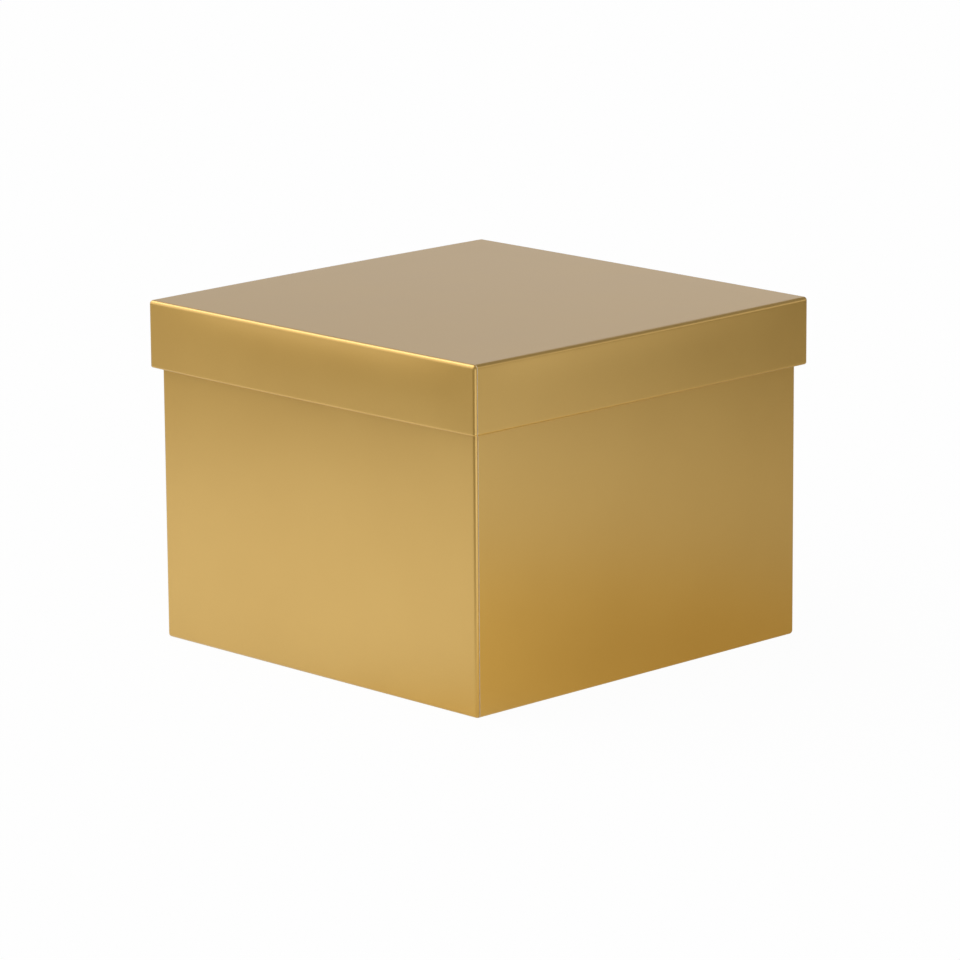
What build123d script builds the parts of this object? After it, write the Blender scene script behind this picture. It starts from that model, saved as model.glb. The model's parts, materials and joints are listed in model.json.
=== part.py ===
from build123d import *

import os

# A square two-piece set-up box: a deep base and a shallow lift-off lid.
# Each is a greyboard tray with cut scores along its folds and a paper stay round each
# upright corner, covered outside in gold foil paper and lined inside with white paper.
# The origin is on the table under the middle of the box, +Z is up, front is -Y.

# Outside of the closed box, in millimetres over the covering paper
base_width = 98.2
base_height = 74.6
lid_depth = 15.0

# Sheet materials
board = 1.0
cover = 0.15
lining = 0.12
stay = 0.10

# How the lid goes on
lid_clearance = 0.48  # lid's inside to base's outside, each side
seat_gap = 0.1  # base's rim to lid's lining

# Board trays
wall_joint = 0.1  # open butt joint between two walls of a tray
board_corner = 0.35  # the board's upright corners, crushed round under the stay
board_rim = 0.25  # the board's rim edge, rubbed round under the cover

# Corner stays
stay_inset = 3.0  # a stay's leg is this much shorter than the ear above it
stay_end = 1.2  # a stay stops this far short of the fold and of the rim

# Covering papers
ear = 12.0  # front and back panels carry on this far round each upright corner
panel_edge = 0.15  # from the end of the corner's bend to the cut edge of the side panel
base_turn_in = 15.0
lid_turn_in = 8.0
turn_in_taper = 1.5  # each end of a turn-in draws in by this much at its free edge
turn_in_joint = 0.1  # between the turn-ins of neighbouring walls
inner_rim = 0.3  # the cover's fold over the inside of the rim

# Linings
lining_edge = 2.0  # a lining stops this far short of the rim, under the turn-in

# What follows from those sizes
score = board / 2  # the folds are cut half through the board
fold_round = score + cover
corner_round = board_corner + stay + cover
rim_round = board_rim + cover
floor_thickness = cover + board + lining
wall_thickness = cover + board + lining + cover
lid_width = base_width + 2 * (lid_clearance + wall_thickness)
closed_height = base_height + seat_gap + floor_thickness


class Tray:
    # One open tray standing on its floor, with its faces as distances from the middle.

    def __init__(self, width, height, turn_in):
        self.height = height
        self.turn_in = turn_in
        self.outside = width / 2
        self.board_outside = self.outside - cover
        self.board_inside = self.board_outside - board
        self.lining_inside = self.board_inside - lining
        self.inside = self.lining_inside - cover
        self.board_top = height - cover
        self.board_floor = cover + board


def slab(x_size, y_size, z_low, z_high):
    return Pos(0, 0, z_low) * extrude(Rectangle(x_size, y_size), z_high - z_low)


def square_block(profile, half):
    # The solid whose section is the same upright profile seen from the front and the side.
    across = extrude(Plane.XZ * profile, half, both=True)
    along = extrude(Plane.YZ * profile, half, both=True)
    return across & along


def rounded_block(half, z_low, z_high, low_round, high_round):
    profile = Pos(0, (z_low + z_high) / 2) * Rectangle(2 * half, z_high - z_low)
    profile = fillet(profile.vertices().group_by(Axis.Y)[0], low_round)
    profile = fillet(profile.vertices().group_by(Axis.Y)[-1], high_round)
    return square_block(profile, half)


def covered_block(tray):
    # All that the covering paper's outer faces hold. The front and back panels bend round the
    # corners, and the side panels lie over their ears, one paper thickness proud.
    bent = RectangleRounded(2 * (tray.outside - cover), 2 * tray.outside, corner_round)
    side_panels = Rectangle(2 * tray.outside, 2 * (tray.outside - corner_round - panel_edge))
    upright = extrude(bent + side_panels, tray.height)
    return upright & rounded_block(tray.outside, 0, tray.height, fold_round, rim_round)


def bare_block(tray):
    # All that the covering paper goes round: the board, sunk by a paper thickness under the ears.
    bent = RectangleRounded(
        2 * (tray.board_outside - cover),
        2 * tray.board_outside,
        corner_round - cover,
    )
    between_ears = Rectangle(2 * tray.board_outside, 2 * (tray.outside - ear))
    upright = Pos(0, 0, cover) * extrude(bent + between_ears, tray.board_top - cover)
    rounded = rounded_block(tray.board_outside, cover, tray.board_top, score, board_rim)
    return upright & rounded


def mouth(tray):
    # The open space between the turn-ins, with the round of the paper's fold over the rim.
    top = tray.height
    with BuildSketch() as profile:
        with BuildLine():
            turn = top - inner_rim
            Polyline((0, top), (0, cover), (tray.inside, cover), (tray.inside, turn))
            RadiusArc((tray.inside, turn), (tray.inside + inner_rim, top), inner_rim)
            Line((tray.inside + inner_rim, top), (0, top))
        make_face()
        mirror(about=Plane.YZ)
    return square_block(profile.sketch, tray.outside)


def turn_in_flap(half_width, tray):
    # One flap lying on the inside of the back wall, drawn in towards its free edge.
    free_edge = tray.height - tray.turn_in
    outline = Polyline(
        (-half_width, tray.board_top),
        (half_width, tray.board_top),
        (half_width - turn_in_taper, free_edge),
        (turn_in_taper - half_width, free_edge),
        close=True,
    )
    flap = extrude(Plane.XZ * make_face(outline), -cover)
    return Pos(0, tray.inside, 0) * flap


def covering_paper(tray):
    skin = covered_block(tray) - bare_block(tray)
    back_flap = turn_in_flap(tray.lining_inside, tray)
    side_flap = Rot(0, 0, 90) * turn_in_flap(tray.inside - turn_in_joint, tray)
    for half_turn in (0, 180):
        skin += Rot(0, 0, half_turn) * back_flap
        skin += Rot(0, 0, half_turn) * side_flap
    return skin - mouth(tray)


def corner_stay(tray, x_side, y_side):
    # A strip bent round one upright corner, flush with the board that it holds together.
    leg = ear - stay_inset
    x_face = tray.board_outside - cover
    y_face = tray.board_outside
    outer = RectangleRounded(2 * x_face, 2 * y_face, corner_round - cover)
    inner = RectangleRounded(2 * (x_face - stay), 2 * (y_face - stay), board_corner)
    corner = Pos(x_side * (x_face - leg / 2), y_side * (y_face - leg / 2)) * Rectangle(leg, leg)
    low = cover + score + stay_end
    strip = extrude((outer - inner) & corner, tray.board_top - stay_end - low)
    return Pos(0, 0, low) * strip


def board_tray(tray, stays):
    # Floor and four walls from one blank: the front and back walls run the full width, the side
    # walls butt between them, and the half-cut scores stand open along the four folds.
    blank = bare_block(tray)
    blank -= slab(2 * tray.board_inside, 2 * tray.board_inside, tray.board_floor, tray.height)
    joint = slab(2 * tray.outside, wall_joint, tray.board_floor, tray.height)
    for y_side in (-1, 1):
        blank -= Pos(0, y_side * (tray.board_inside - wall_joint / 2), 0) * joint
    hinge = tray.board_outside - score
    open_score = slab(2 * tray.outside, 2 * tray.outside, cover, cover + score)
    blank -= open_score - slab(2 * hinge, 2 * hinge, cover, cover + score)
    for piece in stays.values():
        blank -= piece
    return blank


def lining_paper(tray):
    # A cross of white paper, pasted to the floor and up each wall until it is under the turn-in.
    top = tray.board_top - lining_edge
    sheet = slab(2 * tray.board_inside, 2 * tray.board_inside, tray.board_floor, top)
    sheet -= slab(2 * tray.lining_inside, 2 * tray.lining_inside, floor_thickness, top)
    joint = slab(2 * tray.board_inside, wall_joint, floor_thickness, top)
    for y_side in (-1, 1):
        sheet -= Pos(0, y_side * (tray.lining_inside - wall_joint / 2), 0) * joint
    return sheet


def tray_pieces(name, tray):
    stays = {}
    for y_name, y_side in (("front", -1), ("back", 1)):
        for x_name, x_side in (("left", -1), ("right", 1)):
            stays[f"{name}_stay_{y_name}_{x_name}"] = corner_stay(tray, x_side, y_side)
    pieces = {f"{name}_board": board_tray(tray, stays)}
    pieces.update(stays)
    pieces[f"{name}_cover"] = covering_paper(tray)
    pieces[f"{name}_lining"] = lining_paper(tray)
    return pieces


base = tray_pieces("base", Tray(base_width, base_height, base_turn_in))
lid = tray_pieces("lid", Tray(lid_width, lid_depth, lid_turn_in))

# The lid is a tray turned over, its floor on top.
on_top = Pos(0, 0, closed_height)
for node in lid:
    lid[node] = on_top * mirror(lid[node], about=Plane.XY)

os.makedirs("parts", exist_ok=True)
for node, shape in {**base, **lid}.items():
    export_step(shape, f"parts/{node}.step")

print(f"lid {lid_width:.2f} wide, base {base_width:.2f} wide, {closed_height:.2f} high closed")
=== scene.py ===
import json
import math

import bmesh
import bpy
from mathutils import Matrix, Vector


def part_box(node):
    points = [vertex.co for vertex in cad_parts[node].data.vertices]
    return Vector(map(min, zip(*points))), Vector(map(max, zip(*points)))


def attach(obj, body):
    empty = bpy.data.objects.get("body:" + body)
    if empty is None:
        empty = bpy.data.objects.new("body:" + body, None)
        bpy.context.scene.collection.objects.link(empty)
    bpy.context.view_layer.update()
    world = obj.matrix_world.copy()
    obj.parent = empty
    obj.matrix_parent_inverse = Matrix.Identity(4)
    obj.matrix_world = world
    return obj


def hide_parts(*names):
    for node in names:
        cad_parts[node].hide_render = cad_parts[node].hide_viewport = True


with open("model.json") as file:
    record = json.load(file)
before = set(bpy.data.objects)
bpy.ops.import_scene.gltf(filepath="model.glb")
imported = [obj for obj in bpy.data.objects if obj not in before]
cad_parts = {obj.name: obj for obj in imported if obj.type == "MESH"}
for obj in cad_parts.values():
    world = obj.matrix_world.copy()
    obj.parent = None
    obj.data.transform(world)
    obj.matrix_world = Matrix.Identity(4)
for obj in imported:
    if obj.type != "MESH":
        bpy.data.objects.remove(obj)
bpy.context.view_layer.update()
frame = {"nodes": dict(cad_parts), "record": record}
scene = bpy.context.scene
scene.view_settings.view_transform = "Standard"
mm = 0.001
weld = 0.001 * mm  # points nearer than this become one
quarterTurn = math.pi / 2


# Node maths, for shaders and geometry alike

class Wire:
    # one output socket; operators add Math nodes after it
    def __init__(self, nodes, socket):
        self.nodes = nodes
        self.socket = socket

    def out(self, name):
        return Wire(self.nodes, self.socket.node.outputs[name])

    def maths(self, operation, *values):
        return self.nodes.add("ShaderNodeMath", {"operation": operation}, dict(enumerate(values)))

    def __add__(self, other):
        return self.maths("ADD", self, other)

    def __radd__(self, other):
        return self.maths("ADD", other, self)

    def __sub__(self, other):
        return self.maths("SUBTRACT", self, other)

    def __rsub__(self, other):
        return self.maths("SUBTRACT", other, self)

    def __mul__(self, other):
        return self.maths("MULTIPLY", self, other)

    def __rmul__(self, other):
        return self.maths("MULTIPLY", other, self)

    def __truediv__(self, other):
        return self.maths("DIVIDE", self, other)

    def __rtruediv__(self, other):
        return self.maths("DIVIDE", other, self)

    def __abs__(self):
        return self.maths("ABSOLUTE", self)

    def least(self, other):
        return self.maths("MINIMUM", self, other)

    def most(self, other):
        return self.maths("MAXIMUM", self, other)

    def between(self, low, high):
        return self.most(low).least(high)

    def sine(self):
        return self.maths("SINE", self)

    def cosine(self):
        return self.maths("COSINE", self)

    def sign(self):
        return self.maths("SIGN", self)

    def smooth(self, low, high):
        settings = {"interpolation_type": "SMOOTHSTEP"}
        return self.nodes.add("ShaderNodeMapRange", settings, {"Value": self, 1: low, 2: high})


class Nodes:
    # a node tree; add() makes any node, its settings first and then its sockets
    def __init__(self, tree):
        self.tree = tree

    def add(self, kind, settings=None, sockets=None, output=0):
        node = self.tree.nodes.new(kind)
        for name, value in (settings or {}).items():
            if name == "stops":
                self.setStops(node.color_ramp, value)
            else:
                setattr(node, name, value)
        for name, value in (sockets or {}).items():
            self.join(value, node.inputs[name])
        return Wire(self, node.outputs[output]) if node.outputs else node

    def join(self, value, socket):
        if isinstance(value, Wire):
            self.tree.links.new(value.socket, socket)
        elif isinstance(value, list):
            for wire in value:
                self.join(wire, socket)
        else:
            socket.default_value = value

    def setStops(self, ramp, stops):
        while len(ramp.elements) < len(stops):
            ramp.elements.new(1.0)
        for element, (position, colour) in zip(ramp.elements, stops):
            element.position = position
            element.color = (*colour, 1.0)


# Finishes

def newFinish(name):
    material = bpy.data.materials.new(name)
    material.use_nodes = True
    nodes = Nodes(material.node_tree)
    material.node_tree.nodes.clear()
    place = nodes.add("ShaderNodeTexCoord", output="Object")
    return material, nodes, place


def finishOff(nodes, sockets):
    shader = nodes.add("ShaderNodeBsdfPrincipled", None, sockets)
    nodes.add("ShaderNodeOutputMaterial", None, {"Surface": shader})


def grain(nodes, place, size, detail, roughness=0.55):
    # even noise, size being the width of one blotch
    sockets = {"Vector": place, "Scale": 1.0 / size, "Detail": detail, "Roughness": roughness}
    return nodes.add("ShaderNodeTexNoise", {"noise_dimensions": "3D"}, sockets)


foil = {
    "deep": (0.767, 0.468, 0.119),
    "light": (0.827, 0.520, 0.141),
    "toneRange": (0.1, 0.9),  # where the drift is deep and where it is light
    "haze": 26 * mm,  # slow drift of tone across a panel
    "hazeShare": 0.7,
    "tooth": 0.30 * mm,  # of the paper
    "toothShare": 0.3,
    "toothHeight": 0.0008 * mm,
    "boardMark": 2.4 * mm,  # of the board, through the paper
    "boardMarkHeight": 0.0007 * mm,
    "metallic": 0.75,  # the rest is the paper's own scatter
    "roughLow": 0.278,  # below about 0.274 the denoiser outlines the drift
    "roughHigh": 0.31,
    "lacquer": 0.6,
    "lacquerRough": 0.2,
}


def goldFoil():
    # metallised paper under a lacquer: a satin gold skin
    material, nodes, place = newFinish("goldFoil")
    haze = grain(nodes, place, foil["haze"], 2.0)
    tooth = grain(nodes, place, foil["tooth"], 2.0)
    boardMark = grain(nodes, place, foil["boardMark"], 1.0)
    tone = haze * foil["hazeShare"] + tooth * foil["toothShare"]
    stops = list(zip(foil["toneRange"], (foil["deep"], foil["light"])))
    colour = nodes.add("ShaderNodeValToRGB", {"stops": stops}, {"Fac": tone})
    rough = foil["roughLow"] + (foil["roughHigh"] - foil["roughLow"]) * haze
    height = tooth * foil["toothHeight"] + boardMark * foil["boardMarkHeight"]
    bump = nodes.add("ShaderNodeBump", None, {"Height": height, "Strength": 1.0, "Distance": 1.0})
    finishOff(nodes, {
        "Base Color": colour, "Metallic": foil["metallic"], "Roughness": rough, "Normal": bump,
        "Coat Weight": foil["lacquer"], "Coat Roughness": foil["lacquerRough"],
    })
    return material


cutEdge = {
    "deep": (0.80, 0.75, 0.64),
    "light": (0.90, 0.87, 0.79),
    "fibre": 0.2 * mm,
    "fibreHeight": 0.004 * mm,
    "rough": 0.8,
}
liningPaper = {
    "deep": (0.86, 0.85, 0.825),
    "light": (0.91, 0.905, 0.89),
    "fibre": 0.3 * mm,
    "fibreHeight": 0.006 * mm,
    "rough": 0.75,
}
greyboard = {
    "deep": (0.20, 0.185, 0.16),
    "light": (0.33, 0.31, 0.28),
    "fibre": 0.5 * mm,
    "fibreHeight": 0.02 * mm,
    "rough": 0.9,
}
stayPaper = {
    "deep": (0.36, 0.23, 0.12),
    "light": (0.46, 0.31, 0.175),
    "fibre": 0.4 * mm,
    "fibreHeight": 0.01 * mm,
    "rough": 0.8,
}
pulp = {
    "fleckSize": 3,  # in fibres
    "fleckShare": 0.6,
    "fibreShare": 0.4,
    "toneRange": (0.36, 0.64),
}


def plainPaper(name, paper):
    # uncoated paper or board: a soft fleck in the colour and a fibrous tooth
    material, nodes, place = newFinish(name)
    fleck = grain(nodes, place, paper["fibre"] * pulp["fleckSize"], 4.0)
    fibre = grain(nodes, place, paper["fibre"], 3.0)
    tone = (fleck * pulp["fleckShare"] + fibre * pulp["fibreShare"]).smooth(*pulp["toneRange"])
    stops = [(0.0, paper["deep"]), (1.0, paper["light"])]
    colour = nodes.add("ShaderNodeValToRGB", {"stops": stops}, {"Fac": tone})
    height = fibre * paper["fibreHeight"]
    bump = nodes.add("ShaderNodeBump", None, {"Height": height, "Strength": 1.0, "Distance": 1.0})
    finishOff(nodes, {"Base Color": colour, "Roughness": paper["rough"], "Normal": bump})
    return material


finishes = {
    "gold_foil_paper": goldFoil(),
    "cutEdge": plainPaper("cutEdge", cutEdge),
    "lining_paper": plainPaper("liningPaper", liningPaper),
    "greyboard": plainPaper("greyboard", greyboard),
    "stay_paper": plainPaper("stayPaper", stayPaper),
}
print("finishes:", ", ".join(finishes))


# Covering papers: a flat cut blank, folded by rule

sheet = {
    "paper": 0.15 * mm,
    "lining": 0.12 * mm,
    "foldRound": 0.80 * mm,
    "cornerRound": 0.70 * mm,  # with the paper, more than foldRound
    "glue": 0.004 * mm,  # between an ear and the side panel over it
    "rimRound": 0.40 * mm,
    "innerRim": 0.30 * mm,
    "ear": 12 * mm,
    "mitre": 0.05 * mm,  # half the open joint between two turn-ins
    "taper": 1.5 * mm,
    "cell": 2.0 * mm,
    "support": 0.3 * mm,  # a row of cells this wide beside each fold keeps the panel's shading flat
    "foldCells": 8,
    "rimCells": (2, 3),  # up to the corner's axis and past it
    "earCells": 6,
    "sharpAngle": 40,  # degrees, for the cut edges
}


class Tray:
    # one tray's sizes, and where its folds lie on the flat blank, measured out from the middle
    def __init__(self, part, turnIn):
        low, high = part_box(f"{part}_cover")
        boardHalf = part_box(f"{part}_board")[1].x
        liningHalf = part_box(f"{part}_lining")[1].x
        self.half = (high.x - low.x) / 2
        self.height = high.z - low.z
        self.rimWidth = self.half - liningHalf + sheet["lining"] + sheet["paper"]
        self.paper = self.half - boardHalf
        self.cornerStart = self.half - self.paper - sheet["cornerRound"]
        self.floorEdge = self.half - sheet["foldRound"]
        self.wallLow = self.floorEdge + sheet["foldRound"] * quarterTurn
        self.wallHigh = self.wallLow + self.height - sheet["foldRound"] - sheet["rimRound"]
        self.rimOuter = self.wallHigh + sheet["rimRound"] * quarterTurn
        self.rimAxis = self.rimOuter + sheet["cornerRound"] - sheet["rimRound"]
        self.rimInner = self.rimOuter + self.rimWidth - sheet["rimRound"] - sheet["innerRim"]
        self.turnInHigh = self.rimInner + sheet["innerRim"] * quarterTurn
        self.turnInLow = self.turnInHigh + turnIn - sheet["innerRim"]


def steps(start, end, count):
    return [start + (end - start) * i / count for i in range(1, count + 1)]


def flatSteps(start, end):
    # even cells between two folds, with a narrow one at each end
    inner = start + sheet["support"]
    outer = end - sheet["support"]
    return [inner] + steps(inner, outer, max(1, round((outer - inner) / sheet["cell"]))) + [end]


def halfWidthAt(tray, along):
    # full width up the wall, mitred over the rim, drawn in down the turn-in
    if along <= tray.rimOuter:
        return tray.cornerStart
    depth = sheet["rimRound"] + along - tray.rimOuter
    if along > tray.rimInner:
        turn = min((along - tray.rimInner) / sheet["innerRim"], quarterTurn)
        depth = tray.rimWidth - sheet["innerRim"] * (1 - math.sin(turn))
    width = min(tray.cornerStart, tray.half - depth - sheet["mitre"])
    drop = max(0.0, along - tray.turnInHigh) / (tray.turnInLow - tray.turnInHigh)
    return width - sheet["taper"] * drop


def cutBlank(name, tray):
    bm = bmesh.new()
    sideLayer = bm.verts.layers.float.new("side")
    bendLayer = bm.verts.layers.float.new("bend")
    points = {}
    keyStep = 0.0001 * mm

    def point(side, across, along, bend=0.0):
        turned = Matrix.Rotation(side * quarterTurn, 3, "Z") @ Vector((across, -along, 0.0))
        key = (round(turned.x / keyStep), round(turned.y / keyStep), bend)
        if key not in points:
            points[key] = bm.verts.new(turned)
            points[key][sideLayer] = side
            points[key][bendLayer] = bend
        return points[key]

    across = [-tray.cornerStart] + flatSteps(-tray.cornerStart, tray.cornerStart)
    floor = [-tray.floorEdge] + across + [tray.floorEdge]
    for x0, x1 in zip(floor, floor[1:]):
        for y0, y1 in zip(floor, floor[1:]):
            bm.faces.new([point(0, x0, -y0), point(0, x0, -y1), point(0, x1, -y1), point(0, x1, -y0)])

    rows = [tray.floorEdge]
    rows += steps(tray.floorEdge, tray.wallLow, sheet["foldCells"])
    rows += flatSteps(tray.wallLow, tray.wallHigh)
    rows += steps(tray.wallHigh, tray.rimOuter, sheet["foldCells"])
    rows += steps(tray.rimOuter, tray.rimAxis, sheet["rimCells"][0])
    rows += steps(tray.rimAxis, tray.rimInner, sheet["rimCells"][1])
    rows += steps(tray.rimInner, tray.turnInHigh, sheet["foldCells"])
    rows += flatSteps(tray.turnInHigh, tray.turnInLow)
    bendEnd = tray.cornerStart + sheet["cornerRound"] * quarterTurn
    bends = [tray.cornerStart] + steps(tray.cornerStart, bendEnd, sheet["foldCells"])
    earEnd = bendEnd + sheet["ear"] - sheet["cornerRound"]
    ears = [bendEnd, bendEnd + tray.paper] + steps(bendEnd + tray.paper, earEnd, sheet["earCells"])
    for side in range(4):
        for s0, s1 in zip(rows, rows[1:]):
            w0 = halfWidthAt(tray, s0) / tray.cornerStart
            w1 = halfWidthAt(tray, s1) / tray.cornerStart
            for u0, u1 in zip(across, across[1:]):
                cell = [(u0 * w0, s0), (u1 * w0, s0), (u1 * w1, s1), (u0 * w1, s1)]
                bm.faces.new([point(side, *corner) for corner in cell])
            if side % 2:
                continue
            # front and back panels carry on round the corners into ears
            columns = []
            if s1 <= tray.rimAxis + weld:
                columns += list(zip(bends, bends[1:])) + list(zip(ears, ears[1:2]))
            if s0 >= tray.wallLow - weld and s1 <= tray.wallHigh + weld:
                columns += list(zip(ears[1:], ears[2:]))
            for hand in (-1, 1):
                for u0, u1 in columns:
                    low, high = sorted((hand * u0, hand * u1))
                    cell = [(low, s0), (high, s0), (high, s1), (low, s1)]
                    flags = [0.0 if abs(u) <= tray.cornerStart else 1.0 for u, s in cell]
                    bm.faces.new([point(side, u, s, flag) for (u, s), flag in zip(cell, flags)])
    flat = [vert for vert in bm.verts if not vert[bendLayer]]
    bmesh.ops.remove_doubles(bm, verts=flat, dist=weld)  # floor and panels share their folds
    mesh = bpy.data.meshes.new(name)
    bm.to_mesh(mesh)
    bm.free()
    return mesh


def foldOver(along, height, start, radius):
    # one square fold towards the inside, starting at start, with this radius on the outer face
    turn = ((along - start) / radius).between(0.0, quarterTurn)
    beyond = (along - start - radius * quarterTurn).most(0.0)
    reach = radius - height
    return along.least(start) + reach * turn.sine(), radius - reach * turn.cosine() + beyond


def foldTree():
    tree = bpy.data.node_groups.new("foldCover", "GeometryNodeTree")
    tree.interface.new_socket("Geometry", in_out="INPUT", socket_type="NodeSocketGeometry")
    sizes = [
        "Half width", "Floor edge", "Fold round", "Wall low", "Wall high", "Rim round", "Rim inner",
        "Inner rim", "Corner start", "Corner round", "Glue", "Paper", "Wall swell", "Floor swell",
        "Front fold bow", "Front rim bow", "Side fold bow", "Side rim bow", "Ripple", "Ripple size", "Seed",
    ]
    for size in sizes:
        tree.interface.new_socket(size, in_out="INPUT", socket_type="NodeSocketFloat")
    for material in ("Foil", "Cut edge", "Back"):
        tree.interface.new_socket(material, in_out="INPUT", socket_type="NodeSocketMaterial")
    tree.interface.new_socket("Geometry", in_out="OUTPUT", socket_type="NodeSocketGeometry")
    nodes = Nodes(tree)
    given = nodes.add("NodeGroupInput")

    # give the blank its thickness, cut edges and all
    turned = nodes.add("GeometryNodeFlipFaces", None, {"Mesh": given})
    thick = nodes.add("GeometryNodeExtrudeMesh", {"mode": "FACES"}, {
        "Mesh": turned, "Offset": (0.0, 0.0, 1.0), "Offset Scale": given.out("Paper"), "Individual": False,
    })
    slab = nodes.add("GeometryNodeJoinGeometry", None, {"Geometry": [given, thick]})
    slab = nodes.add("GeometryNodeMergeByDistance", None, {"Geometry": slab, "Distance": weld})

    # each panel is folded as if it faced the front, then turned to its own side
    side = nodes.add("GeometryNodeInputNamedAttribute", {"data_type": "FLOAT"}, {"Name": "side"})
    bend = nodes.add("GeometryNodeInputNamedAttribute", {"data_type": "FLOAT"}, {"Name": "bend"})
    angle = side * quarterTurn
    place = nodes.add("GeometryNodeInputPosition")
    aboutZ = {"rotation_type": "Z_AXIS"}
    flat = nodes.add("ShaderNodeVectorRotate", aboutZ, {"Vector": place, "Angle": angle * -1.0})
    split = nodes.add("ShaderNodeSeparateXYZ", None, {"Vector": flat})
    across = split
    along = split.out("Y") * -1.0
    height = split.out("Z")

    # the sheet's own unevenness: a swell across each panel and a slow ripple, still at the folds
    half = given.out("Half width")
    wallLow = given.out("Wall low")
    wallHigh = given.out("Wall high")
    upWall = ((along - wallLow) / (wallHigh - wallLow)).between(0.0, 1.0)
    acrossShare = across / given.out("Corner start")
    alongShare = along / given.out("Floor edge")
    acrossSquare = acrossShare * acrossShare
    crown = (1.0 - acrossSquare).most(0.0)
    wallSwell = (upWall * math.pi).sine() * crown
    floorSwell = crown * (1.0 - alongShare * alongShare).most(0.0)
    drift = nodes.add("ShaderNodeCombineXYZ", None, {
        "X": across, "Y": along + side, "Z": given.out("Seed"),
    })
    noise = nodes.add("ShaderNodeTexNoise", {"noise_dimensions": "3D"}, {
        "Vector": drift, "Scale": 1.0 / given.out("Ripple size"), "Detail": 1.0,
    })
    still = wallSwell.smooth(0.0, 0.25)  # no ripple beside a fold
    ripple = (noise - 0.5) * still * given.out("Ripple")
    swell = wallSwell * given.out("Wall swell") + floorSwell * given.out("Floor swell")
    height = height - swell - ripple

    # walls bow out between the corners, by one amount along the floor's fold and another along the rim
    onSide = abs(angle.sine())
    frontFold, frontRim = given.out("Front fold bow"), given.out("Front rim bow")
    foldBow = frontFold + onSide * (given.out("Side fold bow") - frontFold)
    rimBow = frontRim + onSide * (given.out("Side rim bow") - frontRim)
    pastFold = (along - given.out("Floor edge")).smooth(0.0, 0.02 * mm)
    overRim = ((along - wallHigh) / (given.out("Rim inner") - wallHigh)).smooth(0.0, 1.0)
    flatCrown = (1.0 - acrossSquare * acrossSquare).most(0.0)
    toRim = (1.0 - upWall) * (1.0 - upWall)
    rise = 1.0 - toRim * toRim  # steepest beside the fold
    bow = foldBow * crown + (rimBow - foldBow) * flatCrown * rise
    bow = bow * pastFold * (1.0 - overRim)

    along, height = foldOver(along, height, given.out("Rim inner"), given.out("Inner rim"))
    along, height = foldOver(along, height, wallHigh, given.out("Rim round"))
    outward, upward = foldOver(along, height, given.out("Floor edge"), given.out("Fold round"))
    outward = outward + bow

    # the corners of the front and back panels, and the ears beyond them
    cornerStart = given.out("Corner start")
    cornerRound = given.out("Corner round")
    past = abs(across) - cornerStart
    turn = (past / cornerRound).between(0.0, quarterTurn)
    beyond = (past - cornerRound * quarterTurn).most(0.0)
    reach = (cornerRound - half + outward).most(0.0)
    bentAcross = across.sign() * (cornerStart + (reach - given.out("Glue")).most(0.0) * turn.sine())
    bentOutward = half - cornerRound + reach * turn.cosine() - beyond
    across = across + bend * (bentAcross - across)
    outward = outward + bend * (bentOutward - outward)

    folded = nodes.add("ShaderNodeCombineXYZ", None, {"X": across, "Y": outward * -1.0, "Z": upward})
    placed = nodes.add("ShaderNodeVectorRotate", aboutZ, {"Vector": folded, "Angle": angle})
    shaped = nodes.add("GeometryNodeSetPosition", None, {"Geometry": slab, "Position": placed})
    welded = nodes.add("GeometryNodeMergeByDistance", None, {"Geometry": shaped, "Distance": weld})
    real = nodes.add("GeometryNodeRealizeInstances", None, {"Geometry": welded})
    smooth = nodes.add("GeometryNodeSetShadeSmooth", None, {"Geometry": real})
    dressed = nodes.add("GeometryNodeSetMaterial", None, {"Geometry": smooth, "Material": given.out("Foil")})
    for faces, material in (("Top", "Back"), ("Side", "Cut edge")):
        dressed = nodes.add("GeometryNodeSetMaterial", None, {
            "Geometry": dressed, "Selection": thick.out(faces), "Material": given.out(material),
        })
    nodes.add("NodeGroupOutput", None, {"Geometry": dressed})
    return tree


folding = foldTree()


def foldCover(name, tray, look):
    blank = bpy.data.objects.new(f"{name}_blank", cutBlank(f"{name}_blank", tray))
    blank.data.materials.append(finishes["gold_foil_paper"])
    scene.collection.objects.link(blank)
    modifier = blank.modifiers.new("fold", "NODES")
    modifier.node_group = folding
    values = {
        "Half width": tray.half,
        "Floor edge": tray.floorEdge,
        "Fold round": sheet["foldRound"],
        "Wall low": tray.wallLow,
        "Wall high": tray.wallHigh,
        "Rim round": sheet["rimRound"],
        "Rim inner": tray.rimInner,
        "Inner rim": sheet["innerRim"],
        "Corner start": tray.cornerStart,
        "Corner round": sheet["cornerRound"],
        "Glue": sheet["glue"],
        "Paper": tray.paper,
        "Wall swell": look["wallSwell"],
        "Floor swell": look["floorSwell"],
        "Front fold bow": look["frontBow"][0],
        "Front rim bow": look["frontBow"][1],
        "Side fold bow": look["sideBow"][0],
        "Side rim bow": look["sideBow"][1],
        "Ripple": look["ripple"],
        "Ripple size": look["rippleSize"],
        "Seed": look["seed"],
        "Foil": finishes["gold_foil_paper"],
        "Cut edge": finishes["cutEdge"],
        "Back": finishes["cutEdge"],
    }
    for item in folding.interface.items_tree:
        if item.in_out == "INPUT" and item.name in values:
            modifier[item.identifier] = values[item.name]
    graph = bpy.context.evaluated_depsgraph_get()
    mesh = bpy.data.meshes.new_from_object(blank.evaluated_get(graph), depsgraph=graph)
    bpy.data.objects.remove(blank)
    mesh.name = name
    mesh.set_sharp_from_angle(angle=math.radians(sheet["sharpAngle"]))
    piece = bpy.data.objects.new(name, mesh)
    scene.collection.objects.link(piece)
    return piece


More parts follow.
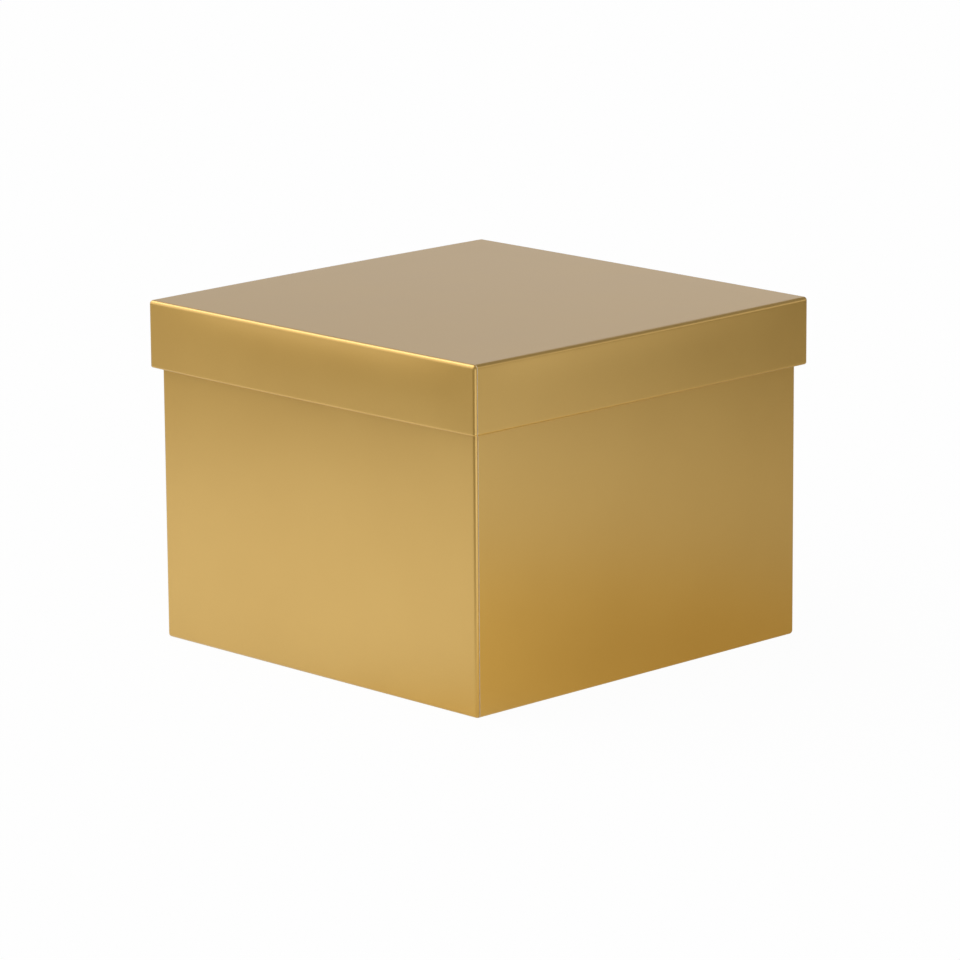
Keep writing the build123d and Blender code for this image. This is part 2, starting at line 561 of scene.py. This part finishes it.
baseLook = {
    "turnIn": 15.0 * mm,
    "wallSwell": 0.10 * mm,
    "floorSwell": 0.0,
    "frontBow": (0.0, 0.0),  # along the floor's fold and along the rim
    "sideBow": (0.0, 0.0),
    "ripple": 0.025 * mm,
    "rippleSize": 45 * mm,
    "seed": 3.0,
}
baseTray = Tray("base", baseLook["turnIn"])
basePaper = foldCover("base_foil_paper", baseTray, baseLook)
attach(basePaper, "base")
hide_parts("base_cover")
print("base paper:", len(basePaper.data.polygons), "faces")

lidLook = {
    "turnIn": 8.0 * mm,
    "wallSwell": 0.02 * mm,
    "floorSwell": 0.10 * mm,
    "frontBow": (0.28 * mm, 0.85 * mm),
    "sideBow": (0.65 * mm, 0.40 * mm),
    "ripple": 0.02 * mm,
    "rippleSize": 40 * mm,
    "seed": 8.0,
}
lidTray = Tray("lid", lidLook["turnIn"])
lidPaper = foldCover("lid_foil_paper", lidTray, lidLook)
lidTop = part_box("lid_cover")[1].z
turnedOver = Matrix.Translation((0, 0, lidTop)) @ Matrix.Rotation(math.pi, 4, "X")
lidPaper.data.transform(turnedOver)  # the lid is a tray upside down
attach(lidPaper, "lid")
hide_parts("lid_cover")
print("lid paper:", len(lidPaper.data.polygons), "faces")


# Boards, stays and linings keep their shape and get their finish

for entry in frame["record"]["subparts"]:
    node = frame["nodes"][entry["node"]]
    for slot in node.material_slots:
        slot.material = finishes[entry["material_slot"]]
print("boards, stays and linings dressed")


# Stage: a pale floor, and a soft sky with its lamps on the left

floorLook = {
    "size": 12.0,
    "colour": (0.90, 0.90, 0.90),
    "white": 0.97,  # share of plain white that the camera sees
    "far": (0.462, 0.437, 0.345),  # the floor's painted glow as the foil mirrors it, away from the painted pools
    "lamp": (0.88, 1.0, 1.2),
    "pools": [  # soft rounds of lamp light painted into that glow
        {"place": (-0.068, -0.161, 0.0), "inner": 0.06, "outer": 0.238, "gain": 0.436},
        {"place": (0.359, 0.016, 0.0), "inner": 0.075, "outer": 0.302, "gain": 0.64},
        {"place": (0.15, -0.065, 0.0), "inner": 0.02, "outer": 0.12, "gain": 0.45},
        {"place": (0.27, -0.08, 0.0), "inner": 0.02, "outer": 0.12, "gain": 0.7},
    ],
    "shades": [  # and soft rounds of shade painted into it
        {"place": (0.115, -0.357, 0.0), "inner": 0.08, "outer": 0.31, "gain": 0.7},
        {"place": (-0.172, -0.343, 0.0), "inner": 0.04, "outer": 0.16, "gain": 0.7},
        {"place": (0.387, 0.404, 0.0), "inner": 0.081, "outer": 0.323, "gain": 0.8},
    ],
    "bounce": {"place": (0.08, 0.01, 0.0), "inner": 0.03, "outer": 0.12, "gain": 1.0},
    "bounceTint": (1.1, 0.94, 0.52),  # painted gold light, standing for what the box throws back at its shaded foot
}


def studioFloor():
    reach = floorLook["size"] / 2
    corners = [(-reach, -reach, 0), (reach, -reach, 0), (reach, reach, 0), (-reach, reach, 0)]
    mesh = bpy.data.meshes.new("floor")
    mesh.from_pydata(corners, [], [(0, 1, 2, 3)])
    floor = bpy.data.objects.new("floor", mesh)
    scene.collection.objects.link(floor)
    material, nodes, place = newFinish("paleFloor")

    def soft(spot):
        ends = {0: place, 1: spot["place"]}
        away = nodes.add("ShaderNodeVectorMath", {"operation": "DISTANCE"}, ends, "Value")
        return away.smooth(spot["outer"], spot["inner"]) * spot["gain"]

    lit = 0.0
    for pool in floorLook["pools"]:
        lit = soft(pool) + lit
    shade = 1.0
    for spot in floorLook["shades"]:
        shade = (1.0 - soft(spot)) * shade
    colour = nodes.add("ShaderNodeMix", {"data_type": "RGBA", "blend_type": "ADD", "clamp_factor": False}, {
        "Factor": lit, 6: (*floorLook["far"], 1.0), 7: (*floorLook["lamp"], 1.0),
    }, 2)
    colour = nodes.add("ShaderNodeMix", {"data_type": "RGBA", "blend_type": "MULTIPLY"}, {
        "Factor": soft(floorLook["bounce"]), 6: colour, 7: (*floorLook["bounceTint"], 1.0),
    }, 2)
    pale = nodes.add("ShaderNodeBsdfDiffuse", None, {"Color": (*floorLook["colour"], 1.0)})
    white = nodes.add("ShaderNodeEmission", None, {"Color": (1.0, 1.0, 1.0, 1.0)})
    # the foil sees the floor as this glow, with its painted pools of light, painted shade and painted gold
    # bounce
    glow = nodes.add("ShaderNodeEmission", None, {"Color": colour, "Strength": shade})
    path = nodes.add("ShaderNodeLightPath")
    mirrored = path.out("Is Glossy Ray").most(path.out("Is Transmission Ray"))
    whitened = path.out("Is Camera Ray") * floorLook["white"]
    seen = nodes.add("ShaderNodeMixShader", None, {0: whitened, 1: pale, 2: white})
    seen = nodes.add("ShaderNodeMixShader", None, {0: mirrored, 1: seen, 2: glow})
    nodes.add("ShaderNodeOutputMaterial", None, {"Surface": seen})
    mesh.materials.append(material)


sky = {
    "level": 0.308,
    "patches": [  # soft lamps: direction and spread in degrees, and strength; the last is a dark card
        {"azimuth": 311, "elevation": 45, "inner": 17, "outer": 67, "gain": 0.85},
        {"azimuth": 281, "elevation": 46, "inner": 5, "outer": 17, "gain": 1.5},
        {"azimuth": 325, "elevation": 62, "inner": 8, "outer": 40, "gain": 0.55},
        {"azimuth": 221, "elevation": 1, "inner": 6, "outer": 22, "gain": 0.30},
        {"azimuth": 134, "elevation": 8, "inner": 5, "outer": 19, "gain": 0.5},
        {"azimuth": 180, "elevation": 47, "inner": 10, "outer": 42, "gain": -0.09},
    ],
}


def towards(azimuth, elevation):
    azimuth, elevation = math.radians(azimuth), math.radians(elevation)
    level = math.cos(elevation)
    return Vector((math.sin(azimuth) * level, -math.cos(azimuth) * level, math.sin(elevation)))


def studioSky():
    world = bpy.data.worlds.new("studio")
    world.use_nodes = True
    scene.world = world
    nodes = Nodes(world.node_tree)
    world.node_tree.nodes.clear()
    direction = nodes.add("ShaderNodeTexCoord", output="Generated")
    light = 0.0
    for patch in sky["patches"]:
        centre = tuple(towards(patch["azimuth"], patch["elevation"]))
        ends = {0: direction, 1: centre}
        facing = nodes.add("ShaderNodeVectorMath", {"operation": "DOT_PRODUCT"}, ends, "Value")
        outer, inner = (math.cos(math.radians(patch[edge])) for edge in ("outer", "inner"))
        light = facing.smooth(outer, inner) * patch["gain"] + light
    light = light + sky["level"]
    path = nodes.add("ShaderNodeLightPath")
    light = light + path.out("Is Camera Ray") * (1.0 - light)  # plain white behind the box
    shell = nodes.add("ShaderNodeBackground", None, {"Color": (1.0, 1.0, 1.0, 1.0), "Strength": light})
    nodes.add("ShaderNodeOutputWorld", None, {"Surface": shell})


studioFloor()
studioSky()
print("stage set")


# Camera, at the photograph's viewing angle

view = {
    "azimuth": 45.66,
    "elevation": 13.03,
    "distance": 1.17,
    "aimHeight": 35.24 * mm,
    "aimAside": 0.12 * mm,
    "roll": -0.42,
    "lens": 199.35,
    "sensor": 36.0,
    "nearest": 0.05,
    "farthest": 50.0,
}


def photoCamera():
    back = towards(view["azimuth"], view["elevation"])
    right = towards(view["azimuth"] + 90, 0.0)
    data = bpy.data.cameras.new("camera")
    data.lens = view["lens"]
    data.sensor_width = view["sensor"]
    data.clip_start = view["nearest"]
    data.clip_end = view["farthest"]
    camera = bpy.data.objects.new("camera", data)
    aim = right * view["aimAside"] + Vector((0, 0, view["aimHeight"]))
    camera.location = aim + back * view["distance"]
    facing = (-back).to_track_quat("-Z", "Y").to_matrix()
    roll = Matrix.Rotation(math.radians(view["roll"]), 3, "Z")
    camera.rotation_euler = (facing @ roll).to_euler()
    scene.collection.objects.link(camera)
    scene.camera = camera


photoCamera()
print("camera set")
